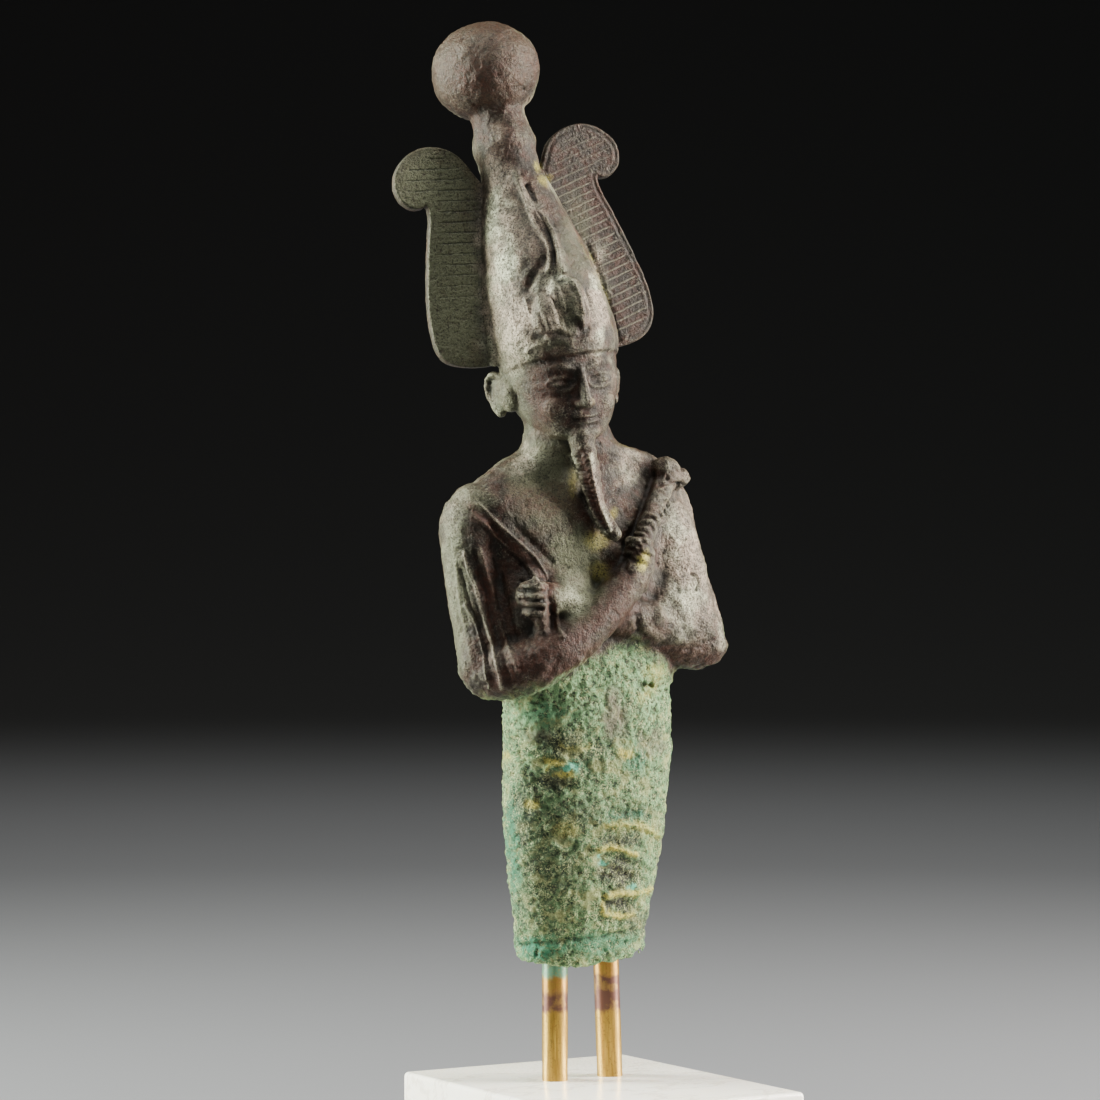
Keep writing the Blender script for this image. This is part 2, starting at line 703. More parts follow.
CROWN_STROKES = (
    (((518, 181), (528, 208), (535, 225), (545, 240), (550, 250), (548, 270)), 2.4, 0.6),
    (((527, 185), (538, 208), (549, 232), (554, 262)), 2.0, -0.6),
    (((545, 218), (555, 235), (559, 254), (563, 270)), 1.8, 0.4),
    (((545, 258), (534, 274), (528, 290)), 3.6, -0.5),
    (((526, 300), (530, 314), (536, 328)), 1.6, 0.4),
    (((534, 302), (540, 316), (545, 330)), 2.6, -0.26),
    (((548, 288), (551, 304), (558, 326)), 2.2, 0.4),
    (((557, 290), (560, 306), (567, 326)), 2.2, -0.32),
    (((563, 277), (574, 283), (580, 296), (583, 312)), 1.8, 0.35),
    (((576, 320), (582, 332)), 3.4, -0.6),
    (((586, 290), (588, 310), (587, 330)), 2.2, -0.35),
    (((581, 246), (593, 275), (604, 303), (614, 341)), 1.6, 0.35),
    (((588, 245), (600, 275), (611, 310), (619, 341)), 2.2, -0.3),
    (((500, 190), (494, 230), (498, 280), (507, 330)), 8.0, 0.2),
    (((534, 338), (556, 334), (580, 338)), 3.0, -0.35),
    (((527, 352), (535, 346), (560, 340), (600, 339)), 2.2, 0.25),
)
SHROUD_STROKES = (
    (((606, 826), (625, 824), (645, 828), (659, 836)), 2.4, 0.4),
    (((599, 849), (610, 846), (622, 850), (635, 855)), 2.4, 0.55),
    (((600, 857), (612, 856), (624, 860), (634, 866)), 3.0, -0.5),
    (((606, 897), (620, 893), (636, 894), (652, 888)), 2.4, 0.5),
    (((602, 903), (604, 914), (620, 917), (635, 913)), 2.2, 0.45),
    (((546, 768), (553, 763), (562, 765)), 2.0, 0.4),
    (((530, 760), (548, 752), (566, 758)), 2.4, 0.3),
    (((532, 800), (545, 812), (548, 830)), 2.4, 0.3),
    (((553, 842), (561, 850), (558, 862)), 2.0, 0.35),
    (((606, 866), (618, 872), (632, 876)), 6.0, -0.45),
    (((608, 904), (628, 903)), 3.4, -0.4),
    (((538, 780), (555, 784), (570, 786)), 5.0, -0.32),
    (((612, 812), (632, 814), (650, 814)), 5.0, -0.3),
    (((527, 694), (545, 684), (563, 672), (582, 658)), 2.4, 0.25),
    (((521, 945), (545, 943), (570, 940), (600, 938), (634, 930)), 2.6, -0.5),
    (((545, 772), (556, 762), (568, 764), (575, 774)), 2.0, 0.22),
)
VISIBLE_RELIEF = ARM_RIDGES + CHEST_STROKES + CROWN_STROKES + SHROUD_STROKES

# Ribbed lengths: two ends in pixels, half width, pixels from rib to rib, slant and depth in parts
RIBS = (
    ((627, 560), (668, 494), 8.0, 7.4, 0.35, 0.22),
    ((579, 456), (609, 535), 8.0, 4.8, 0.6, 0.14),
)

# The crook lies as a flat band from the left fist up to the right shoulder
CROOK_LINE = ((540, 578), (530, 560), (515, 546), (498, 531), (482, 515), (470, 504), (462, 502))
CROOK_HALF_WIDTH = 7.0
CROOK_RELIEF = 0.6
CROOK_FADES_FROM = 464
CROOK_FADES_TO = 496

# Corrosion: where it has eaten deep (as in the tables of colours) and the heights where it starts
PITTED_PATCHES = (
    (655, 690, 18, 16, 1.0),
    (645, 748, 14, 12, 0.8),
    (552, 740, 14, 10, 0.7),
    (615, 880, 20, 26, 0.6),
    (560, 785, 16, 12, 0.5),
    (680, 560, 16, 60, 0.25),
    (676, 478, 16, 14, 0.5),
)
SHROUD_ROUGH_FROM = 66
SHROUD_ROUGH_BELOW = 52


def facing_camera(normals):
    """How squarely each upright normal faces the photograph's camera."""
    return ramp(-(normals @ VIEW_FORWARD), 0.0, 0.35)


def visible_relief(points, normals):
    pixels = to_photo(posed(points))
    total = np.zeros(len(points))
    for line, width, depth in VISIBLE_RELIEF:
        total += depth * bell(stroke_distance(pixels, line, width), width)
    from_crook = stroke_distance(pixels, CROOK_LINE, CROOK_HALF_WIDTH)
    crook = CROOK_RELIEF * ramp(-from_crook, -CROOK_HALF_WIDTH - 1.4, -CROOK_HALF_WIDTH + 1.4)
    crook += 0.2 * bell(from_crook - CROOK_HALF_WIDTH + 1.6, 1.3)
    total += crook * ramp(pixels[:, 0], CROOK_FADES_FROM, CROOK_FADES_TO)
    for start, end, half_width, spacing, slant, depth in RIBS:
        run = np.array(end, dtype=float) - start
        length = np.linalg.norm(run)
        along = (pixels - start) @ run / length
        across = (pixels - start) @ np.array((run[1], -run[0])) / length
        inside = ramp(-np.abs(across), -half_width - 1, -half_width + 1.5)
        inside = inside * ramp(along, -2, 2) * ramp(-along, -length - 2, -length + 2)
        uneven = 0.35 * spacing * cloud(points, 2.2, 41)
        ribs = np.cos(2 * math.pi * (along + slant * np.abs(across) + uneven) / spacing)
        total += depth * inside * ribs * (0.75 + 0.5 * cloud(points, 1.6, 42))
    return total * facing_camera(normals)


def on_feathers(points):
    """Where the flat feathers stand clear of the crown."""
    on_plate = np.abs(points[:, 1] - feather_set_back(points[:, 2])) < FEATHER_THICKNESS * 0.75
    on_crown = np.clip(points[:, 2], CROWN_RINGS[0][0], CROWN_RINGS[-1][0])
    crown_radius = smooth_values(on_crown, CROWN_RINGS, 1)
    outside_crown = ramp(np.abs(points[:, 0]), crown_radius + 0.8, crown_radius + 1.8)
    return outside_crown * (on_plate & (points[:, 2] > FEATHERS_FROM) & (points[:, 2] < FEATHERS_TO))


def feather_edge_distance(points):
    distance = np.full(len(points), 9.0)
    near = on_feathers(points) > 0
    flat = np.stack([np.abs(points[near, 0]), points[near, 2]], 1)
    distance[near] = distance_to_line(flat, feather_edge())
    return distance


def feather_relief(points, normals):
    """Raised borders on both faces of the feathers. The barbs are too fine for the mesh."""
    from_edge = feather_edge_distance(points)
    border = 0.08 * bell(from_edge - 0.3, 0.3) - 0.12 * bell(from_edge - 0.9, 0.3)
    border += 0.09 * bell(from_edge - 1.5, 0.3)
    flat_face = ramp(np.abs(normals[:, 1]), 0.75, 0.95)
    strength = np.where(points[:, 0] > 0, 1.0, 0.45)
    return strength * border * flat_face * on_feathers(points)


def face_relief(points, normals):
    """Eye sockets, lids and a mouth line, set out from the middle of the head on even thirds."""
    across = np.abs(points[:, 0])
    up = points[:, 2]
    eye_across, _, eye_up = EYE[:3]
    front = ramp(-points[:, 1], 3.5, 7.0) * ((up > 98) & (up < 114))
    sockets = -0.6 * bell(np.hypot((across - 2.2) / 1.4, (up - 109.7) / 1.1), 1.0)
    sockets -= 0.3 * bell(np.hypot((across - 4.2) / 2.8, (up - 107.3) / 0.8), 1.0)
    lid_height = 1.15 * np.sqrt(np.clip(1 - ((across - eye_across) / 2.6) ** 2, 0, 1))
    from_lid = np.abs(up - eye_up) - lid_height
    lids = 0.26 * bell(from_lid, 0.26) * (np.abs(across - eye_across) < 2.6)
    lids -= 0.14 * bell(from_lid + 0.55, 0.22) * (np.abs(across - eye_across) < 2.0)
    outer_line = 0.22 * bell(up - eye_up - 0.04 * (across - 6.4), 0.3) * ramp(across, 6.0, 6.6)
    outer_line = outer_line * ramp(-across, -9.2, -8.2)
    mouth = -0.3 * bell(up - MOUTH_LINE_HEIGHT - 0.03 * across**2, 0.26) * ramp(-across, -3.0, -2.3)
    corners = -0.25 * bell(np.hypot((across - 2.9) / 0.5, (up - 102.6) / 0.5), 1.0)
    under_lip = -0.3 * bell(np.hypot(across / 2.2, (up - 100.9) / 0.5), 1.0)
    groove = -0.16 * bell(np.hypot(across / 0.45, (up - 104.0) / 0.7), 1.0)
    return (sockets + lids + outer_line + mouth + corners + under_lip + groove) * front


def weathering(points):
    """Uneven casting all over, and corrosion on the shroud."""
    shroud = ramp(-points[:, 2], -SHROUD_ROUGH_FROM, -SHROUD_ROUGH_BELOW)
    face = ramp(points[:, 2], 97, 99) * ramp(-points[:, 2], -114, -112) * ramp(-points[:, 1], 2, 5)
    feathers = on_feathers(points)
    calm = 1 - 0.75 * np.maximum(face, feathers)
    broad = cloud(points, 9.0, 5)
    large = cloud(points, 4.5, 1)
    middle = cloud(points, 1.9, 2)
    small = cloud(points, 0.9, 3)
    total = 0.3 * broad * (1 - face) * (1 - feathers)
    total += (0.2 * large + 0.15 * middle + 0.13 * small) * calm
    total += shroud * (0.14 * middle + 0.16 * small)
    foot = 0.5 * ramp(-points[:, 2], -9, -3)
    eaten = np.maximum(foot, patches(to_photo(posed(points)), PITTED_PATCHES))
    total += eaten * (0.3 * large - 0.6 * ramp(cloud(points, 1.5, 4), 0.24, 0.5))
    pits = ramp(cloud(points, 0.8, 7), 0.6, 0.7)
    return total - 0.16 * pits * calm


def finely_made(points):
    """Where the modelling is too fine for much softening: the head, the hands and what they hold."""
    fine = ramp(points[:, 2], 96.5, 98.5)
    for palm in (LEFT_PALM, RIGHT_PALM):
        away = np.linalg.norm(points - np.array(palm[:3]), axis=1)
        fine = np.maximum(fine, ramp(-away, -6.0, -4.6))
    for path, reach in ((BEARD, 3.6), (FLAIL, 4.2)):
        away = distance_to_line(points, [station[:3] for station in path])
        fine = np.maximum(fine, ramp(-away, -reach, -reach + 1.0))
    return fine


def worked_figure():
    """The upright figure fused, softened, carved and thinned."""
    mesh = applied(upright_figure(), "fuse", "REMESH", mode="VOXEL", voxel_size=GRAIN)
    edges = read_edges(mesh)
    points = read_points(mesh)
    points = blurred(points, edges, SOFTENING)
    joined = (1 - finely_made(points))[:, None]
    for _ in range(JOIN_SOFTENING):
        points += joined * 0.5 * (neighbour_mean(points, edges) - points)
    write_points(mesh, points)
    normals = read_normals(mesh)
    depth = visible_relief(points, normals) + feather_relief(points, normals)
    depth += face_relief(points, normals) + weathering(points)
    write_points(mesh, points + normals * depth[:, None])
    mesh = applied(mesh, "triangles", "TRIANGULATE")
    share = min(1.0, FACES_KEPT / len(mesh.polygons))
    return applied(mesh, "thin", "DECIMATE", ratio=share)


# Where the colours lie: pixel, half width and height in pixels, strength
OLIVE_PATCHES = (
    (545, 480, 34, 50, 0.9),
    (575, 555, 26, 30, 1.0),
    (580, 596, 28, 26, 1.0),
    (450, 290, 44, 110, 1.0),
    (430, 190, 50, 50, 1.0),
    (592, 542, 12, 9, 1.0),
    (505, 420, 26, 30, 0.8),
    (505, 360, 26, 40, 0.8),
    (470, 500, 24, 16, 0.6),
    (485, 60, 50, 50, 0.2),
    (568, 312, 14, 26, 0.5),
    (545, 345, 30, 8, 0.4),
    (452, 600, 16, 100, 0.8),
    (575, 240, 16, 50, 0.4),
)
RED_PATCHES = (
    (482, 76, 34, 26, 1.0),
    (484, 64, 62, 62, 0.6),
    (504, 140, 14, 18, 0.8),
    (545, 400, 16, 40, 0.7),
    (540, 500, 40, 16, 0.7),
    (560, 660, 60, 24, 0.8),
    (616, 612, 26, 20, 0.8),
    (680, 655, 40, 12, 0.9),
    (488, 590, 8, 60, 0.9),
    (551, 595, 6, 28, 1.0),
    (596, 500, 10, 40, 0.8),
    (600, 200, 14, 24, 0.5),
)
PALE_PATCHES = (
    (498, 262, 20, 100, 1.0),
    (512, 330, 24, 40, 1.0),
    (530, 230, 16, 40, 0.4),
    (550, 298, 16, 40, 0.5),
    (446, 600, 6, 90, 0.12),
    (456, 500, 12, 20, 0.15),
    (690, 560, 28, 84, 0.7),
    (626, 465, 12, 20, 0.5),
    (598, 300, 9, 56, 1.0),
    (532, 595, 8, 18, 0.15),
    (499, 132, 6, 18, 0.4),
    (528, 460, 14, 12, 1.0),
    (573, 594, 9, 20, 0.35),
)
PALE_STROKES = (
    (((520, 186), (528, 208), (535, 225), (545, 240), (550, 250), (548, 270)), 2.6, 1.0),
    (((555, 235), (559, 254), (563, 270)), 2.0, 0.8),
    (((526, 300), (530, 314), (536, 328)), 2.2, 1.0),
    (((548, 288), (551, 304), (558, 326)), 2.6, 1.0),
    (((563, 277), (574, 283)), 2.4, 0.8),
    (((571, 455), (579, 480), (587, 505), (597, 524), (606, 534)), 2.0, 0.9),
    (((592, 455), (596, 480), (602, 505), (611, 530)), 2.0, 0.8),
    (((650, 628), (655, 634), (660, 640)), 4.0, 0.7),
    (((716, 600), (721, 630), (722, 646)), 3.0, 0.8),
    (((464, 552), (475, 587), (485, 623), (497, 665), (502, 688)), 1.6, 0.8),
)
RED_STROKES = (
    (((582, 455), (588, 480), (595, 505), (605, 524)), 5.0, 1.0),
    (((470, 506), (500, 536), (520, 552), (536, 568), (544, 578)), 4.5, 0.9),
    (((546, 585), (551, 606), (553, 628)), 4.5, 1.0),
    (((500, 678), (540, 660), (580, 636), (612, 606), (628, 580)), 11.0, 1.0),
)
OCHRE_PATCHES = (
    (625, 754, 9, 5, 0.9),
    (553, 762, 12, 4, 0.9),
    (565, 775, 11, 3, 0.9),
    (507, 756, 5, 5, 0.7),
    (532, 804, 8, 6, 0.8),
    (596, 541, 13, 10, 0.34),
    (599, 571, 11, 9, 0.3),
    (644, 561, 5, 10, 0.7),
    (573, 482, 5, 16, 0.28),
    (614, 512, 4, 6, 0.4),
    (538, 167, 4, 5, 0.6),
    (545, 181, 6, 5, 0.45),
    (655, 672, 12, 10, 0.35),
    (566, 830, 14, 10, 0.35),
)
OCHRE_STROKES = (
    (((606, 826), (625, 824), (645, 828), (659, 836)), 3.6, 0.6),
    (((599, 849), (610, 846), (622, 850), (635, 855)), 2.6, 1.0),
    (((606, 897), (620, 893), (636, 894), (652, 888)), 2.8, 1.0),
    (((602, 903), (604, 914), (620, 917), (635, 913)), 2.2, 1.0),
    (((640, 700), (652, 690), (660, 672)), 4.0, 0.4),
    (((560, 744), (575, 750), (590, 746)), 2.4, 0.4),
    (((546, 770), (552, 764), (560, 766)), 2.0, 0.8),
    (((584, 246), (597, 275), (608, 303)), 1.6, 0.35),
)
STROKES = {"ochre": OCHRE_STROKES, "pale": PALE_STROKES, "red": RED_STROKES}
TURQUOISE_PATCHES = (
    (603, 863, 3.5, 3, 1.0),
    (632, 888, 4, 3, 1.0),
    (572, 768, 8, 4, 0.7),
    (599, 856, 2.5, 2, 0.8),
)
TEAL_PATCHES = (
    (540, 948, 30, 12, 1.0),
    (511, 850, 8, 60, 0.8),
    (600, 945, 40, 12, 0.7),
    (572, 768, 16, 8, 0.7),
    (635, 760, 12, 16, 0.6),
    (630, 816, 24, 8, 0.6),
    (545, 715, 30, 12, 0.5),
)
MINT_PATCHES = (
    (590, 690, 70, 44, 0.9),
    (530, 720, 24, 24, 0.9),
    (650, 690, 16, 40, 1.0),
    (655, 770, 12, 40, 0.6),
    (620, 740, 20, 30, 0.4),
    (520, 770, 14, 24, 0.5),
    (600, 800, 60, 20, 0.4),
    (650, 870, 8, 50, 0.5),
)
DARK_PATCHES = (
    (540, 865, 42, 64, 0.4),
    (618, 872, 20, 15, 1.0),
    (618, 905, 15, 8, 1.0),
    (622, 837, 22, 8, 0.8),
    (560, 742, 24, 14, 0.8),
    (522, 775, 16, 16, 0.5),
    (575, 815, 30, 14, 0.6),
    (640, 920, 14, 16, 0.6),
    (553, 783, 18, 10, 0.9),
    (632, 812, 22, 9, 0.8),
    (522, 815, 16, 50, 0.7),
    (600, 755, 40, 12, 0.4),
    (640, 690, 10, 12, 0.3),
)
BLUSH_PATCHES = (
    (616, 712, 12, 26, 0.9),
    (536, 736, 16, 8, 0.6),
    (650, 745, 14, 14, 0.6),
)
GREEN_EDGE = ((440, 705), (505, 700), (556, 682), (600, 655), (640, 640), (672, 672), (760, 692))
GREEN_EDGE_SOFTNESS = 10


def add_value(mesh, name, values):
    attribute = mesh.attributes.new(name, "FLOAT", "POINT")
    attribute.data.foreach_set("value", values.astype(np.float32))


def add_mask(mesh, name, values):
    add_value(mesh, name, np.clip(values, 0, 1))


def paint_masks(mesh, upright, normals, edges):
    """Where each colour lies, kept with the mesh's points."""
    pixels = to_photo(posed(upright))
    facing = facing_camera(normals)
    wander = np.stack([cloud(upright, 2.6, 11), cloud(upright, 2.6, 12)], 1)
    jitter = np.stack([cloud(upright, 0.9, 13), cloud(upright, 0.9, 14)], 1)
    strayed = pixels + 9 * wander + 4 * jitter
    limit = np.interp(pixels[:, 0], *zip(*GREEN_EDGE))
    seen = ramp(strayed[:, 1] - limit, -GREEN_EDGE_SOFTNESS, GREEN_EDGE_SOFTNESS)
    hidden = ramp(-upright[:, 2] + 4 * wander[:, 0] + 7 * cloud(upright, 9.0, 15), -63, -52)
    add_mask(mesh, "green", seen * facing + hidden * (1 - facing))
    bend = np.sum((neighbour_mean(upright, edges) - upright) * normals, axis=1)
    spread = np.mean(np.linalg.norm(upright[edges[:, 0]] - upright[edges[:, 1]], axis=1))
    near_bend = blurred(bend, edges, 2) / spread
    wide_bend = blurred(bend, edges, 14) / spread
    add_mask(mesh, "hollow", 0.5 * ramp(near_bend, 0.01, 0.12) + 0.5 * ramp(wide_bend, 0.005, 0.05))
    worn = 0.6 * ramp(-near_bend, 0.02, 0.14) + 0.4 * ramp(-wide_bend, 0.01, 0.06)
    add_mask(mesh, "edge_wear", worn * (1 - 0.8 * on_feathers(upright)))
    spread_out = ramp(cloud(upright, 8.0, 21), 0.05, 0.5)
    low = ramp(-upright[:, 2], -60, -50)
    elsewhere = {
        "olive": 0.7 * spread_out,
        "red": 0.7 * ramp(-cloud(upright, 9.0, 22), 0.0, 0.5),
        "pale": 0.5 * ramp(cloud(upright, 7.0, 23), 0.1, 0.5),
        "ochre": (0.12 + 0.55 * low) * ramp(cloud(upright * (1, 1, 2.2), 5.0, 24), 0.42, 0.56),
        "turquoise": 0.8 * low * ramp(cloud(upright, 2.0, 25), 0.66, 0.74),
        "teal": np.maximum(ramp(-upright[:, 2], -7, -2), 0.7 * ramp(cloud(upright, 7.0, 26), 0.2, 0.5)),
        "mint": 0.9 * ramp(upright[:, 2] + 6 * spread_out, 42, 56),
        "dark": 0.8 * ramp(cloud(upright, 8.0, 27), 0.0, 0.4),
        "blush": 0.6 * ramp(cloud(upright, 6.0, 28), 0.3, 0.55),
    }
    painted = {
        "olive": OLIVE_PATCHES,
        "red": RED_PATCHES,
        "pale": PALE_PATCHES,
        "ochre": OCHRE_PATCHES,
        "turquoise": TURQUOISE_PATCHES,
        "teal": TEAL_PATCHES,
        "mint": MINT_PATCHES,
        "dark": DARK_PATCHES,
        "blush": BLUSH_PATCHES,
    }
    small_stray = pixels + 2.4 * wander + 3 * jitter
    rim = on_feathers(upright) * ramp(-np.abs(normals[:, 1]), -0.75, -0.45)
    for name, spots in painted.items():
        where = small_stray if name in ("ochre", "turquoise") else strayed
        seen = patches(where, spots)
        for line, width, strength in STROKES.get(name, ()):
            place = small_stray if name == "ochre" else pixels + wander
            seen = np.maximum(seen, strength * bell(stroke_distance(place, line, width), width))
        if name in ("olive", "pale"):
            seen = seen * (1 - 0.85 * rim)
        add_mask(mesh, name, seen * facing + elsewhere[name] * (1 - facing))
    is_left = upright[:, 0] > 0
    slope = np.where(is_left, 0.24, 0.12)
    spacing = np.where(is_left, 1.5, 1.95)
    from_edge = feather_edge_distance(upright)
    add_value(mesh, "barb_count", (upright[:, 2] - slope * np.abs(upright[:, 0])) / spacing)
    inside = ramp(from_edge, 1.7, 2.4) * on_feathers(upright) * ramp(np.abs(normals[:, 1]), 0.7, 0.9)
    below_curl = 0.35 + 0.65 * ramp(-upright[:, 2], -149, -144)
    add_mask(mesh, "raised_barbs", inside * is_left * below_curl)
    above = ramp(upright[:, 2], 124, 136)
    add_mask(mesh, "cut_barbs", inside * ~is_left * above)


# Materials
class Surface:
    """A Principled material, built node by node."""

    def __init__(self, name):
        self.material = bpy.data.materials.new(name)
        self.material.use_nodes = True
        self.tree = self.material.node_tree
        self.shader = self.tree.nodes["Principled BSDF"]
        self.coordinates = self.node("ShaderNodeTexCoord").outputs["Object"]

    def node(self, kind, inputs=None, **settings):
        made = self.tree.nodes.new(kind)
        for key, value in settings.items():
            setattr(made, key, value)
        for key, value in (inputs or {}).items():
            self.put(made.inputs[key], value)
        return made

    def put(self, socket, value):
        if isinstance(value, bpy.types.NodeSocket):
            self.tree.links.new(value, socket)
        else:
            socket.default_value = value

    def noise(self, size, detail=4.0, roughness=0.55, stretch=None):
        """Noise with lumps of about that many metres."""
        vector = self.coordinates
        if stretch:
            vector = self.node("ShaderNodeMapping", {"Vector": vector, "Scale": stretch}).outputs[0]
        settings = {"Vector": vector, "Scale": 1 / size, "Detail": detail, "Roughness": roughness}
        return self.node("ShaderNodeTexNoise", settings).outputs["Fac"]

    def cells(self, size):
        made = self.node("ShaderNodeTexVoronoi", {"Vector": self.coordinates, "Scale": 1 / size})
        return made.outputs["Distance"]

    def mask(self, name):
        return self.node("ShaderNodeAttribute", attribute_name=name).outputs["Fac"]

    def between(self, value, low, high, to_low=0.0, to_high=1.0):
        settings = {"Value": value, "From Min": low, "From Max": high, "To Min": to_low, "To Max": to_high}
        return self.node("ShaderNodeMapRange", settings, interpolation_type="SMOOTHSTEP").outputs[0]

    def maths(self, operation, first, second=0.0):
        made = self.node("ShaderNodeMath", operation=operation)
        self.put(made.inputs[0], first)
        self.put(made.inputs[1], second)
        return made.outputs[0]

    def times(self, first, second):
        return self.maths("MULTIPLY", first, second)

    def mix(self, share, first, second):
        made = self.node("ShaderNodeMix", data_type="RGBA", clamp_factor=True)
        self.put(made.inputs["Factor"], share)
        self.put(made.inputs["A"], self.colour(first))
        self.put(made.inputs["B"], self.colour(second))
        return next(output for output in made.outputs if output.type == "RGBA")

    def colour(self, value):
        return value if isinstance(value, bpy.types.NodeSocket) else (*value, 1.0)

    def bump(self, height, distance, strength=1.0, normal=None):
        made = self.node("ShaderNodeBump", {"Height": height, "Distance": distance, "Strength": strength})
        if normal:
            self.put(made.inputs["Normal"], normal)
        return made.outputs[0]

    def finish(self, **inputs):
        for key, value in inputs.items():
            self.put(self.shader.inputs[key.replace("_", " ")], value)
        return self.material


CHOCOLATE = (0.015, 0.0105, 0.0065)
RED_BROWN = (0.052, 0.016, 0.0075)
OLIVE = (0.105, 0.112, 0.064)
GREY_BEIGE = (0.20, 0.190, 0.130)
PALE_GREEN_GREY = (0.56, 0.58, 0.41)
PALE_BEIGE = (0.40, 0.33, 0.25)
SLATE = (0.028, 0.029, 0.023)
BLUSH = (0.15, 0.095, 0.085)
DEEP_GREEN = (0.020, 0.044, 0.022)
PATINA_GREEN = (0.105, 0.200, 0.085)
PALE_YELLOW_GREEN = (0.45, 0.48, 0.235)
MINT = (0.20, 0.36, 0.17)
TEAL = (0.035, 0.17, 0.095)
PIT_BLACK = (0.009, 0.010, 0.008)
OCHRE = (0.42, 0.37, 0.075)
EARTH = (0.050, 0.036, 0.024)
YELLOW_GREEN = (0.27, 0.29, 0.115)
TURQUOISE = (0.14, 0.55, 0.38)
BRASS_BRIGHT = (0.47, 0.295, 0.062)
BRASS_DULL = (0.25, 0.150, 0.030)
BRASS_SPECK = (0.13, 0.075, 0.028)
BRASS_STAIN = (0.12, 0.055, 0.040)
COPPER_RED = (0.42, 0.21, 0.06)
COLLAR_GREEN = (0.11, 0.24, 0.15)
MARBLE_WHITE = (0.98, 0.94, 0.83)
MARBLE_CREAM = (0.95, 0.90, 0.77)
MARBLE_VEIN = (0.56, 0.50, 0.42)
MARBLE_SPECK = (0.62, 0.60, 0.56)


